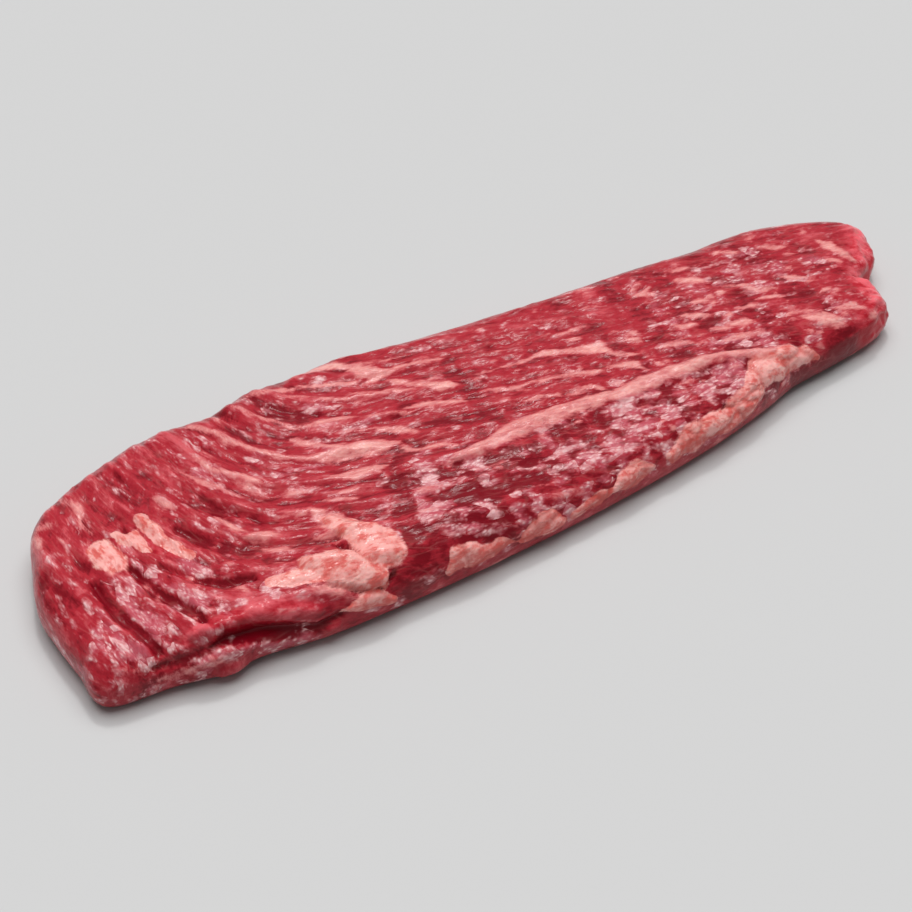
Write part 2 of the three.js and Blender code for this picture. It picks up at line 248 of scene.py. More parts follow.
# Bare, deep red lean: bands across the grain and patches in the hollow; the last path, at the foot of the
# narrow half, is painted shade
BARE = [
    [(-52, -10, 5), (-59, -24, 9), (-66, -40, 9), (-70, -55, 7)],
    [(-5, 30, 5), (-8, 12, 8), (-9, -4, 9), (-8, -13, 5)],
    [(-47, -36, 6), (-39, -38, 9)],
    [(-44, -42, 6), (-30, -44, 9), (-12, -45, 5)],
    [(-20, -34, 5), (-12, -36, 6)],
    # Painted shade at the foot of the narrow half
    [(131, -36, 13, 9), (142, -35, 13, 12), (152, -34, 10, 12)],
]

# Solid fat: lumps on the top and leaves along the near edge
FAT = [
    (2.2, [(-105, -41, 9), (-100, -44.5, 15), (-95, -48, 17), (-90.5, -52, 14), (-86.5, -55, 8)]),
    (1.4, [(-88, -25, 5), (-85, -31.5, 10), (-82.5, -38, 14), (-80, -44.5, 16), (-79.5, -50, 12)]),
    (0.7, [(-120, -42, 5), (-113, -43.5, 8), (-107, -46, 7), (-103, -49, 5)]),
    (1.5, [(-102, -58.6, 12, 2), (-97, -58.8, 12.3, 5.5), (-91, -59, 12, 7), (-84.5, -59.9, 9, 3)]),
    (1.5, [(-160, 4.5, 9.5), (-160.3, -2.5, 12)]),
    (1.2, [(-152, 8, 5), (-150, 5, 9), (-148.5, 0, 5), (-148, -4.5, 4)]),
    (1.0, [(-142, 11, 6), (-141.5, 4, 7), (-141, -3, 5.5)]),
    (0.6, [(-141, -2, 5), (-139, -9, 5.5), (-136, -16, 3.5)]),
    (1.3, [(-60.6, -59.5, 10.7, 4.5), (-56.4, -58.5, 13.1, 9.1), (-51.2, -58.8, 12.2, 9.8),
           (-46.8, -59.3, 10.5, 6.5), (-41, -59.2, 10.5, 6.5), (-36.7, -59.1, 10.3, 3.2),
           (-29, -59.2, 8.7, 1.3)]),
    (1.3, [(-29.4, -58.8, 10.2, 5.2), (-25.8, -58.4, 10.9, 7.2), (-20.7, -58.2, 10.8, 8.5),
           (-15.7, -58.3, 10, 7.2), (-12, -58.3, 9.2, 3.9)]),
    (0.7, [(-21.3, -56.7, 13.6, 3.2), (-17.7, -57, 12.8, 5.2), (-14.2, -57.6, 11.4, 3.9)]),
    (1.1, [(-7.7, -57.8, 9.9, 3.2), (-0.4, -57.1, 10.4, 5.9), (3.9, -57, 9.7, 6.5),
           (9.7, -56.3, 10.3, 3.2)]),
    (1.4, [(11.9, -56.1, 10.3, 3.9), (15, -55.3, 11.6, 7.8), (20, -54.7, 11.8, 9.8),
           (25.8, -54.3, 11.5, 7.2), (30, -54, 11.5, 2.6)]),
    (1.6, [(39, -53.2, 10.5, 5.2), (45.7, -51.5, 12.7, 10.4), (51.7, -50.3, 13.2, 11.7),
           (59.7, -49.2, 13.2, 11.1), (67.4, -48.4, 12.5, 9.8), (75.3, -46.9, 12.5, 13.7),
           (80.8, -45.1, 13.5, 15), (87, -43, 14.5, 9.1)]),
    (1.6, [(86, -41, 16.7, 7.8), (93.6, -37.3, 17.7, 14.3), (100.9, -37.5, 16.5, 13),
           (108.4, -36.4, 15.5, 10.4), (115.5, -35.9, 14.4, 9.1), (121.5, -37.1, 11.7, 3.9)]),
]
# Bright red lean, where the meat was parted
FRESH = [
    [(-153, -46.5, 18, 4), (-141, -48, 18.5, 8), (-131, -49, 18.5, 9), (-121, -52, 16.5, 8),
     (-110, -55, 14, 4)],
    [(-146, 3, 5), (-145, -5, 6), (-141, -12, 3)],
]
# Swellings of the lean beside the fold and under the seam
SWELLINGS = [
    (2.2, [(-152, -47.5, 18, 6), (-140, -48.5, 18.5, 10), (-131, -49.5, 18, 11), (-122, -52, 16.5, 10),
           (-110, -55, 14, 6)]),
    (1.2, [(-154, -54, 11, 5), (-143, -55, 12, 8), (-129, -55, 10.5, 8), (-117, -57.5, 8.5, 7),
           (-105, -59, 7, 4)]),
    (3.0, [(-147, -56, 4, 8), (-143, -56.5, 4, 12), (-139, -57, 4, 8)]),
    (1.0, [(x, y, width + 3) for x, y, width in SEAM]),
]


# Studio: the floor in metres, the camera in millimetres
FLOOR_HALF_WIDTH = 6.0
FLOOR_CORNERS = [(-1, -1), (1, -1), (1, 1), (-1, 1)]
SENSOR_WIDTH = 36
CAMERA_TARGET = (-27.7, -7.5, 8.8)


def smooth(low, high, value):
    """0 below low, 1 above high and a cubic S between them."""
    t = np.clip((value - low) / (high - low), 0, 1)
    return t * t * (3 - 2 * t)


def mix(a, b, t):
    """a where t is 0, b where it is 1, and between them in proportion."""
    return a + (b - a) * t


# Noise

def lattice(ix, iy, iz, seed):
    """A number from 0 to 1 for each corner of a cubic lattice, scrambled from its whole coordinates."""
    with np.errstate(over="ignore"):
        h = (ix.astype(np.uint32) * np.uint32(374761393) + iy.astype(np.uint32) * np.uint32(668265263)
             + iz.astype(np.uint32) * np.uint32(2246822519) + np.uint32(seed * 3266489917 % 2**32))
        h = (h ^ (h >> np.uint32(13))) * np.uint32(1274126177)
        h = (h ^ (h >> np.uint32(16))) * np.uint32(2654435761)
        h ^= h >> np.uint32(15)
    return h.astype(np.float64) / 2**32


def noise(coords, seed):
    """Smooth random values from about -1 to 1 at points in space: the corners of each unit cube
    have random slopes, and their planes are blended across it by a quintic."""
    cell = np.floor(coords)
    part = coords - cell
    cell = cell.astype(np.int64)
    fade = part**3 * (part * (part * 6 - 15) + 10)
    total = np.zeros(coords.shape[:-1])
    for corner in np.ndindex(2, 2, 2):
        at = [cell[..., k] + corner[k] for k in range(3)]
        weight = np.prod([fade[..., k] if corner[k] else 1 - fade[..., k] for k in range(3)], axis=0)
        slope = [2 * lattice(*at, seed * 3 + k) - 1 for k in range(3)]
        total += weight * sum(slope[k] * (part[..., k] - corner[k]) for k in range(3))
    return total * 1.5


# Outline and base form

def closed_spline(points):
    """A smooth closed curve: between two points, the Catmull-Rom cubic through them and their
    neighbours, sampled evenly."""
    p = np.array(points, float)
    t = np.linspace(0, 1, OUTLINE_SMOOTHNESS, endpoint=False)[None, :, None]
    a, b, c, d = (np.roll(p, shift, axis=0)[:, None] for shift in (1, 0, -1, -2))
    cubic = b + 0.5 * t * (c - a + t * (2 * a - 5 * b + 4 * c - d + t * (3 * (b - c) + d - a)))
    return cubic.reshape(-1, 2)


def outline_sides():
    """The four sides of the outline, each from corner to corner, going round against the clock."""
    points = NEAR_EDGE + NARROW_END + FAR_EDGE + WIDE_END
    samples = closed_spline(points)
    samples = np.vstack([samples, samples[:1]])
    far_start = len(NEAR_EDGE) + len(NARROW_END)
    corners = [0, len(NEAR_EDGE) - 1, far_start, far_start + len(FAR_EDGE) - 1, len(points)]
    ends = [corner * OUTLINE_SMOOTHNESS for corner in corners]
    return [samples[a:b + 1] for a, b in zip(ends, ends[1:])]


def along_side(side, shares):
    """The points at these shares of a side's length."""
    steps = np.hypot(*np.diff(side, axis=0).T)
    length = np.concatenate([[0], np.cumsum(steps)])
    return np.stack([np.interp(shares, length / length[-1], side[:, k]) for k in (0, 1)], axis=-1)


def row_shares(rows, rows_at_start, rows_at_end, round_at_start, round_at_end):
    """Shares from 0 to 1: spaced by angle round each edge, and even between the edges."""
    start = round_at_start * (1 - np.cos(np.linspace(0, np.pi / 2, rows_at_start + 1)[:-1]))
    end = 1 - round_at_end * (1 - np.cos(np.linspace(np.pi / 2, 0, rows_at_end + 1)[1:]))
    flat = np.linspace(round_at_start, 1 - round_at_end, rows - rows_at_start - rows_at_end + 1)
    return np.concatenate([start, flat, end])


def patch(near, narrow, far, wide, s, q):
    """A surface stretched between four sides: the blend of near and far, plus the blend of wide
    and narrow, less the blend of the four corners."""
    s, q = s[:, None, None], q[None, :, None]
    across = mix(near[:, None], far[:, None], q)
    along = mix(wide[None], narrow[None], s)
    corners = mix(mix(near[0], near[-1], s), mix(far[0], far[-1], s), q)
    return across + along - corners


def shoulder(distance, width):
    """A quarter circle: 0 at the edge and 1 from width inwards."""
    left = 1 - np.clip(distance / width, 0, 1)
    return np.sqrt(1 - left * left)


def top_grid():
    """The top without its relief, as a grid of points: the patch between the four sides, raised by
    the product of a round shoulder along each side."""
    near, narrow, far, wide = outline_sides()
    length = 2 * np.hypot(*near[0])
    width = np.hypot(*(near[0] - far[-1]))
    s = row_shares(ROWS_ALONG, ROWS_ON_END, ROWS_ON_END,
                   ROUND_WIDE_END / length, ROUND_NARROW_END / length)
    q = row_shares(ROWS_ACROSS, ROWS_ON_NEAR_EDGE, ROWS_ON_FAR_EDGE,
                   ROUND_NEAR_WIDE / width, ROUND_FAR / width)
    near, far = along_side(near, s), along_side(far, 1 - s)
    wide, narrow = along_side(wide, 1 - q), along_side(narrow, q)
    plan = patch(near, narrow, far, wide, s, q)
    span_across = np.hypot(*(near - far).T)[:, None]
    span_along = np.hypot(*(wide - narrow).T)[None]
    x = plan[..., 0]
    round_near = mix(ROUND_NEAR_WIDE, ROUND_NEAR_NARROW, smooth(-60, 20, x))
    rise = (shoulder(q * span_across, round_near) * shoulder((1 - q) * span_across, ROUND_FAR)
            * shoulder(s[:, None] * span_along, ROUND_WIDE_END)
            * shoulder((1 - s)[:, None] * span_along, ROUND_NARROW_END))
    crown = CROWN - THINNER_AT_WIDE_END * smooth(120, 190, -x) - THINNER_AT_NARROW_END * smooth(60, 190, x)
    return np.dstack([plan, RIM_HEIGHT + (crown - RIM_HEIGHT) * rise])


def loop_round(grid):
    """The outer points of a grid in order, going round against the clock."""
    return np.concatenate([grid[:-1, 0], grid[-1, :-1], grid[:0:-1, -1], grid[0, :0:-1]])


def rings_under(rim):
    """Rings from below the rim down to the flat underside: a quarter ellipse turned in by the
    undercut, towards a line along the middle."""
    inward = np.stack([np.clip(rim[:, 0], -SPINE, SPINE) - rim[:, 0], -rim[:, 1]], axis=-1)
    inward /= np.linalg.norm(inward, axis=1, keepdims=True)
    angles = np.linspace(0, np.pi / 2, ROWS_UNDER_RIM + 1)[1:, None, None]
    plan = rim[None, :, :2] + inward[None] * UNDERCUT * (1 - np.cos(angles))
    return np.dstack([plan, rim[None, :, 2] * (1 - np.sin(angles[..., 0]))])


def base_surface():
    """Points and triangles of the whole closed surface without relief: the top grid; a row of
    triangles that halves the number of points; the rings under the rim; and a grid half as fine,
    laid flat between the last ring's sides."""
    top = top_grid()
    rows, places = top.shape[:2]
    ids = np.arange(rows * places).reshape(rows, places)
    faces = [quads(ids[:-1, :-1], ids[1:, :-1], ids[1:, 1:], ids[:-1, 1:])]
    rim = loop_round(ids)
    points = [top.reshape(-1, 3)]
    rings = rings_under(points[0][rim[::2]])
    ring_ids = rows * places + np.arange(rings.shape[0] * rings.shape[1]).reshape(rings.shape[:2])
    points.append(rings.reshape(-1, 3))
    fine, middle, finer = rim[::2], rim[1::2], np.roll(rim[::2], -1)
    first, second = ring_ids[0], np.roll(ring_ids[0], -1)
    for triangles in ((middle, fine, first), (middle, first, second), (finer, middle, second)):
        faces.append(np.stack(triangles, axis=-1))
    upper, lower = ring_ids[:-1], ring_ids[1:]
    faces.append(quads(upper, lower, np.roll(lower, -1, axis=1), np.roll(upper, -1, axis=1)))
    half_rows, half_places = (rows + 1) // 2, (places + 1) // 2
    bottom_ids = np.zeros((half_rows, half_places), int)
    last, edge = rings[-1, :, :2], ring_ids[-1]
    a, b, c = half_rows - 1, half_rows + half_places - 2, 2 * half_rows + half_places - 3
    sides = [np.arange(0, a + 1), np.arange(a, b + 1), np.arange(c, b - 1, -1),
             np.r_[0, np.arange(len(edge) - 1, c - 1, -1)]]
    near, narrow, far, wide = (last[side] for side in sides)
    s, q = np.linspace(0, 1, half_rows), np.linspace(0, 1, half_places)
    bottom = patch(near, narrow, far, wide, s, q)
    inner = bottom[1:-1, 1:-1].reshape(-1, 2)
    inner_ids = ring_ids.max() + 1 + np.arange(len(inner))
    bottom_ids[1:-1, 1:-1] = inner_ids.reshape(half_rows - 2, half_places - 2)
    bottom_ids[:, 0], bottom_ids[-1], bottom_ids[:, -1], bottom_ids[0] = (edge[side] for side in sides)
    points.append(np.column_stack([inner, np.zeros(len(inner))]))
    faces.append(quads(bottom_ids[:-1, :-1], bottom_ids[:-1, 1:], bottom_ids[1:, 1:], bottom_ids[1:, :-1]))
    return np.vstack(points), np.vstack(faces)


def quads(a, b, c, d):
    """Two triangles for each four corners."""
    a, b, c, d = (k.reshape(-1) for k in (a, b, c, d))
    return np.vstack([np.stack([a, b, c], axis=-1), np.stack([a, c, d], axis=-1)])


def normals_of(points, faces):
    """Unit normals at the points: the sum of the area vectors of the triangles round each."""
    a, b, c = (points[faces[:, k]] for k in range(3))
    area = np.cross(b - a, c - a)
    total = np.stack([
        sum(np.bincount(faces[:, k], area[:, axis], len(points)) for k in range(3)) for axis in range(3)
    ], axis=-1)
    return total / np.linalg.norm(total, axis=1, keepdims=True)


# Grain and relief

def cells(coords, seed):
    """Uneven cells packed side by side: each unit cube holds one scattered point, and its cell is
    the space nearest to it. Gives half of what the second nearest point is further than the
    nearest, which is 0 on a border, and a random number for each cell."""
    cube = np.floor(coords)
    part = coords - cube
    cube = cube.astype(np.int64)
    nearest = np.full(coords.shape[:-1], 9.0)
    second = nearest.copy()
    number = np.zeros(coords.shape[:-1])
    for step in np.ndindex(3, 3, 3):
        at = [cube[..., k] + step[k] - 1 for k in range(3)]
        offset = [step[k] - 1 + lattice(*at, seed * 4 + k) - part[..., k] for k in range(3)]
        distance = np.sqrt(sum(o * o for o in offset))
        second = np.minimum(second, np.maximum(nearest, distance))
        number = np.where(distance < nearest, lattice(*at, seed * 4 + 3), number)
        nearest = np.minimum(nearest, distance)
    return (second - nearest) / 2, number


def grain(points):
    """Coordinates along and across the fibres, and the height. Across is the distance along the
    knee's line less a bend that has one slope before the knee, another after it and a third in
    the far corner, each passing smoothly into the next."""
    turn = math.radians(KNEE_DEG)
    x, y = points[:, 0] - KNEE[0], points[:, 1] - KNEE[1]
    on_line = math.cos(turn) * x + math.sin(turn) * y
    past = math.sin(turn) * x - math.cos(turn) * y
    after = KNEE_BEND * np.logaddexp(0, past / KNEE_BEND)
    corner = KNEE_BEND * np.logaddexp(0, (FAR_CORNER_START - past) / KNEE_BEND)
    bend = SLOPE_BEFORE * past + (SLOPE_AFTER - SLOPE_BEFORE) * after + FAR_CORNER_SLOPE * corner
    return np.column_stack([past, (on_line - bend) / ACROSS_STRETCH, points[:, 2]])


def shifted(coords, size, reach, seed):
    """The coordinates, each moved by noise of its own of this size, by up to this reach."""
    return coords + np.column_stack([noise(coords / size, seed + k) for k in range(3)]) * reach


def path_distance(points, path):
    """The distance from each point to a path of straight pieces, in plan or in space as the path
    is given, and the path's width at the nearest place."""
    best = np.full(len(points), 1e9)
    width = np.zeros(len(points))
    for a, b in zip(path, path[1:]):
        start, step = np.array(a[:-1], float), np.subtract(b[:-1], a[:-1])
        p = points[:, :len(start)] - start
        t = np.clip(p @ step / (step @ step), 0, 1)
        distance = np.linalg.norm(p - t[:, None] * step, axis=1)
        closer = distance < best
        best = np.where(closer, distance, best)
        width = np.where(closer, mix(a[-1], b[-1], t), width)
    return best, width


def inside(points, path, reach=None):
    """1 on the middle of a path, 0 at its outline and down to -1 as far again outside it, or, with
    a reach, 1 only where the outline is this far away. A path given in plan ends below the edge
    of the top."""
    distance, width = path_distance(points, path)
    field = np.clip((width / 2 - distance) / (reach or width / 2), -1, 1)
    return field if len(path[0]) == 4 else mix(-1, field, smooth(9, 15, points[:, 2]))


def tapered(path):
    """A path with a point more beyond each end, where it comes to a blunt tip."""
    tips = []
    for end, inner in ((path[0], path[1]), (path[-1], path[-2])):
        out = np.subtract(end[:-1], inner[:-1])
        tips.append((*(end[:-1] + out / np.linalg.norm(out) * 0.7 * end[-1]), 0.4 * end[-1]))
    return [tips[0], *path, tips[1]]


def swell(field):
    """From the field of a path: 1 on its middle and 0 at its outline, rounded at both."""
    t = np.clip(1 - field, 0, 1)
    return (1 - t * t)**2


def shape_fields(points, settings):
    """The fields that both the relief and the colours use, at the points of the smooth form. Paths
    give fields that pass 0 at their outlines, cells give flecks, lobules and pits, and cosines
    give the bundles and the rows of flecks. Noise moves the points first, so nothing is straight."""
    x, y, z = points.T
    fibre = grain(points)
    wavy = shifted(fibre, (22, 9, 9), (4, 2.2, 2), 51)
    ragged = shifted(shifted(points, 11, 1.8, 31), 3.5, 0.6, 34)
    lens, lens_number = cells(wavy / (20, 4.2, 6), 41)
    spot, spot_number = cells(wavy / (5.2, 3.0, 3.4), 42)
    edge_fat = smooth(-80, -60, x)  # 0 at the lumps by the fold, 1 where fat lies along the near edge
    lobule, _ = cells(ragged / mix(12, np.array([13, 9, 8]), edge_fat[:, None]), 43)
    middle = smooth(-130, -105, x) * (1 - smooth(-15, 25, x))
    a, b = np.array(NEAR_EDGE[-1], float), np.array(FAR_EDGE[0], float)
    side = np.array([b[1] - a[1], a[0] - b[0]]) / np.linalg.norm(b - a)
    beyond_end = (points[:, :2] - a) @ side
    uneven = shifted(points, 9, 1.4, 37)
    streak = np.max([inside(uneven, tapered(path), STREAK_REACH) for path in STREAKS], axis=0)
    narrow_half = smooth(25, 60, x)
    rows = np.cos(2 * np.pi * (x - ROW_START) / ROW_SPACING + 1.2 * noise(points / 16, 44))
    waver = 0.5 * np.sin(x / 19 + y / 23) + 0.35 * np.sin(x / 31 - y / 17 + 1.3)
    phase = 2 * np.pi * ACROSS_STRETCH * fibre[:, 1] / (settings.bundle_spacing / MM) + waver
    ridge = np.cos(phase) + 0.4 * np.cos(2 * phase + 2.0 * noise(fibre / (30, 12, 12), 45))
    flecks = np.maximum(
        np.where(lens_number > 0.80, 4.0 * lens - 0.6, -1) - 1.2 * (1 - middle),
        np.where(spot_number > 0.68, 3.4 * spot - 0.7, -1) - 0.4 * middle + 0.6 * rows * narrow_half,
    ) - 0.9 * (1 - smooth(SHOULDER_FOOT, SHOULDER_BACK, z)) * smooth(10, 30, y)
    pillow = smooth(0, 0.3, lobule)
    scallop = 0.25 * (pillow - 0.7) * edge_fat
    fat_fields = [inside(ragged, path) + scallop for _, path in FAT]
    swollen = mix(1, mix(0.6, 1, pillow), edge_fat)
    heights = [(1 - (1 - np.clip(field, 0, 1))**2) * height for field, (height, _) in zip(fat_fields, FAT)]
    groove = np.max([swell(inside(points, path)) * depth for depth, path in GROOVES], axis=0)
    lean = smooth(0.0, 0.3, mix(spot, lens, middle)) * mix(0.3 - 0.12 * narrow_half, 0.45, middle)
    lean += 0.4 * noise(fibre / (16, 2.8, 4), 5) + 0.35 * noise(fibre / (5, 2.8, 3), 6)
    lean += 0.8 * noise(fibre / (15, 8, 8), 7) * (1 - 0.5 * smooth(-60, 30, x))
    lean += 0.45 * noise(fibre / (6, 4, 4), 9) * (1 - smooth(-125, -100, x))
    return {
        "fibre": fibre, "middle": middle, "streak": np.maximum(streak, np.clip(flecks, -1, 1)),
        "fat": np.max(fat_fields, axis=0), "fat_height": np.max(heights, axis=0) * swollen, "ridge": ridge,
        "fresh": np.max([inside(uneven, path) for path in FRESH], axis=0),
        "lean": lean, "number": np.where(middle > 0.5, lens_number, spot_number),
        "crease": (1 - smooth(0, 0.12, lobule)) * mix(0.25, 1, edge_fat), "groove": groove,
        "hollow": swell(inside(points, HOLLOW[1])) * HOLLOW[0],
        "swelling": np.max([swell(inside(points, path)) * height for height, path in SWELLINGS], axis=0),
        "bare": np.max([inside(shifted(points, 7, 2.0, 61), path) for path in BARE], axis=0),
        "veil": np.max([inside(shifted(points, 6, 2.2, 67), path) for path in VEILS], axis=0),
        "rows": rows * narrow_half, "end": smooth(-12, -2, beyond_end + 4 * noise(points / 8, 28)),
    }


def relief(points, f, settings):
    """How far each point stands out of the smooth form: bundles as a cosine across the grain,
    pillows between the borders of the cells, strands of noise, the fat and the swellings, less
    the grooves, the creases and the hollow, and lumps of noise on the cut end. It all fades out
    below the rim, so that the underside stays flat."""
    x, y, z = points.T
    depth = settings.bundle_depth / MM * (1 - SHALLOWER_BUNDLES * smooth(-80, 30, x))
    fade = smooth(mix(SHOULDER_FOOT, CROWN - 4, smooth(5, 30, y)), CROWN - 0.3, z)
    out = depth / RIDGE_SWING * f["ridge"] * fade
    solid_fat = smooth(-0.1, 0.2, f["fat"])
    out += f["lean"] * mix(0.3, 1, fade) * (1 - 0.8 * solid_fat) + 0.2 * smooth(-0.3, 0.6, f["streak"])
    out += f["fat_height"] - f["crease"] * 0.3 * solid_fat + 0.15 * noise(points / 4, 8) * solid_fat
    out += f["swelling"] - f["groove"] * (1 - 0.5 * solid_fat) - f["hollow"]
    lumps = 1.2 * noise(points / 7, 10) + 0.6 * noise(points / 3.2, 11)
    out += lumps * f["end"] * smooth(-0.3, 0.2, -f["fat"])
    return out * smooth(0, RIM_HEIGHT, z)


def colour_fields(points, f):
    """What the surface is made of at each point, with light and shade painted into it: streaks, solid fat
    and skin as fields that pass 0 at their outlines; how deep or light the lean is, from below 0 for
    deep to above 0 for light, with painted shade in the grooves, the fold and the low near-right side
    and painted light on the crests of the bundles and the top of the cut; and, from 0 to 1, the
    creases of the fat, darkened as painted shade, the freshly cut lean, and the height that pales the fat."""
    fibre = f["fibre"]
    x, y, z = points.T
    cover = 0.9 * noise(fibre / (11, 5, 5), 23) + 0.5 * noise(fibre / (5, 2.6, 2.6), 24)
    cover *= 1 - 0.5 * (1 - smooth(-130, -115, x)) * smooth(0, 12, y)
    # Places that differ in how much membrane they have or how deep their lean is, and the low near-right
    # side, where shade is painted
    near_left = (1 - smooth(-20, 5, y)) * (1 - smooth(-118, -98, x))
    low_middle = smooth(-78, -60, x) * (1 - smooth(-25, -14, y)) * (1 - smooth(95, 115, x))
    right = smooth(60, 100, x) * (1 - smooth(22, 34, y)) * (1 - smooth(155, 168, x))
    bands = np.cos(2 * np.pi * x / BAND_SPACING + 1.5 * noise(points / 12, 29)) * low_middle
    # The low near-right side: painted shade, by darker lean and no membrane
    low_right_shade = smooth(95, 120, x) * (1 - smooth(-15, 5, y)) * (1 - smooth(9, 14, z)) * smooth(0, 1, z)
    left_middle = smooth(-140, -125, x) * (1 - smooth(-110, -95, x)) * smooth(-25, -10, y)
    skin = cover - 0.55 + 0.3 * near_left + 0.2 * right + 0.2 * left_middle + 0.5 * f["lean"]
    skin += mix(0.34, 0.47, smooth(-20, 20, x)) * low_middle
    skin += 0.7 * smooth(-1.0, 0.8, f["veil"]) + 0.3 * bands
    cut = np.maximum(f["end"], 0.45 * smooth(-0.1, 0.5, f["fresh"]))
    skin -= 0.9 * smooth(-0.2, 0.3, f["bare"]) + 1.0 * smooth(0.2, 1.4, f["groove"]) + 0.7 * cut
    skin -= 0.8 * (1 - smooth(SHOULDER_FOOT, SHOULDER_BACK, z)) * smooth(0, 30, y)
    skin -= 1.0 * (1 - smooth(5, 9, z)) * smooth(-78, -60, x) + 0.8 * low_right_shade
    left = 1 - smooth(-60, 20, x)
    tone_and_shade = mix(0.4, 0.7, left) * (f["number"] - 0.5) + 0.3 * noise(points / 12, 27)
    tone_and_shade += mix(0.3, 0.5, left) * noise(fibre / (22, 5, 5), 25) + 0.3 * f["rows"] + 0.2 * bands
    # Painted light and shade: the lean is lighter on the crests of the bundles and where it stands out,
    # darker in the valleys between them
    tone_and_shade += mix(0.1, 0.3, left) * f["ridge"] + 0.4 * f["lean"]
    far_side = smooth(10, 30, y) * (1 - smooth(11, 17, z))
    tone_and_shade = np.maximum(tone_and_shade, mix(mix(-0.5, -0.75, left), -0.25, far_side))
    plain_far = smooth(10, 30, y) * smooth(-50, -30, x)
    tone_and_shade -= 0.2 * smooth(-105, -90, x) * (1 - smooth(60, 90, x)) * (1 - plain_far)
    tone_and_shade -= 0.25 * smooth(60, 90, x) * (1 - smooth(140, 160, x))
    # Painted light: the low strip along the near side is lifted out of its shade
    tone_and_shade += 0.4 * (1 - smooth(5, 9, z)) * smooth(-78, -60, x) * (1 - smooth(85, 110, x))
    tone_and_shade -= 0.35 * low_middle * smooth(8, 12, z)
    # Painted shade on the low near-right side; on the cut lean, painted light towards the top and painted
    # shade below
    tone_and_shade -= 1.1 * low_right_shade + cut * mix(0.5, -0.45, smooth(8, 17, z))
    # Painted shade: the lean is darker in the grooves and darker still in the deep fold; bare lean is
    # darker as well
    tone_and_shade -= 0.9 * smooth(0.2, 1.5, f["groove"]) + 0.5 * smooth(-0.2, 0.4, f["bare"])
    tone_and_shade -= 1.0 * smooth(2.0, 3.6, f["groove"])
    streak = f["streak"] - 0.8 * smooth(-0.2, 0.4, f["bare"])
    return {
        "streak": streak - 0.6 * smooth(-0.1, 0.5, f["fresh"]), "fat": f["fat"], "skin": skin, "tone_and_shade": tone_and_shade,
        # Painted shade: the fat is darker red in the creases of its lobules and in the grooves
        "crease": np.maximum(f["crease"], smooth(0.5, 1.2, f["groove"])), "cut": cut,
        "pale": smooth(7, 15, z),
    }


def beef_mesh(settings):
    """The finished mesh: base surface, relief along its normals, and its fields as attributes."""
    points, faces = base_surface()
    normals = normals_of(points, faces)
    fields = shape_fields(points, settings)
    colours = colour_fields(points, fields)
    points = points + normals * relief(points, fields, settings)[:, None]
    points[:, 2] = np.maximum(points[:, 2], 0)
    points -= (*((points.min(axis=0) + points.max(axis=0)) / 2)[:2], 0)
    mesh = bpy.data.meshes.new("beef")
    mesh.from_pydata((points * MM).tolist(), [], faces.tolist())
    mesh.update()
    mesh.polygons.foreach_set("use_smooth", np.ones(len(faces), bool))
    attribute = mesh.attributes.new("fibre", "FLOAT_VECTOR", "POINT")
    attribute.data.foreach_set("vector", fields["fibre"].astype(np.float32).ravel())
    for name, values in colours.items():
        attribute = mesh.attributes.new(name, "FLOAT", "POINT")
        attribute.data.foreach_set("value", values.astype(np.float32))
    return mesh


# Materials

def linear(code):
    """A colour written as sRGB hex, as linear red, green and blue."""
    parts = [int(code[k:k + 2], 16) / 255 for k in (1, 3, 5)]
    return tuple(c / 12.92 if c <= 0.04045 else ((c + 0.055) / 1.055)**2.4 for c in parts)


def add(tree, kind, settings=None, inputs=None):
    """Adds a node, sets its properties, and links or sets its inputs: a socket is linked and any
    other value is set."""
    node = tree.nodes.new(kind)
    for name, value in (settings or {}).items():
        setattr(node, name, value)
    for name, value in (inputs or {}).items():
        socket = node.inputs[name]
        if isinstance(value, bpy.types.NodeSocket):
            tree.links.new(value, socket)
        else:
            socket.default_value = value
    return node


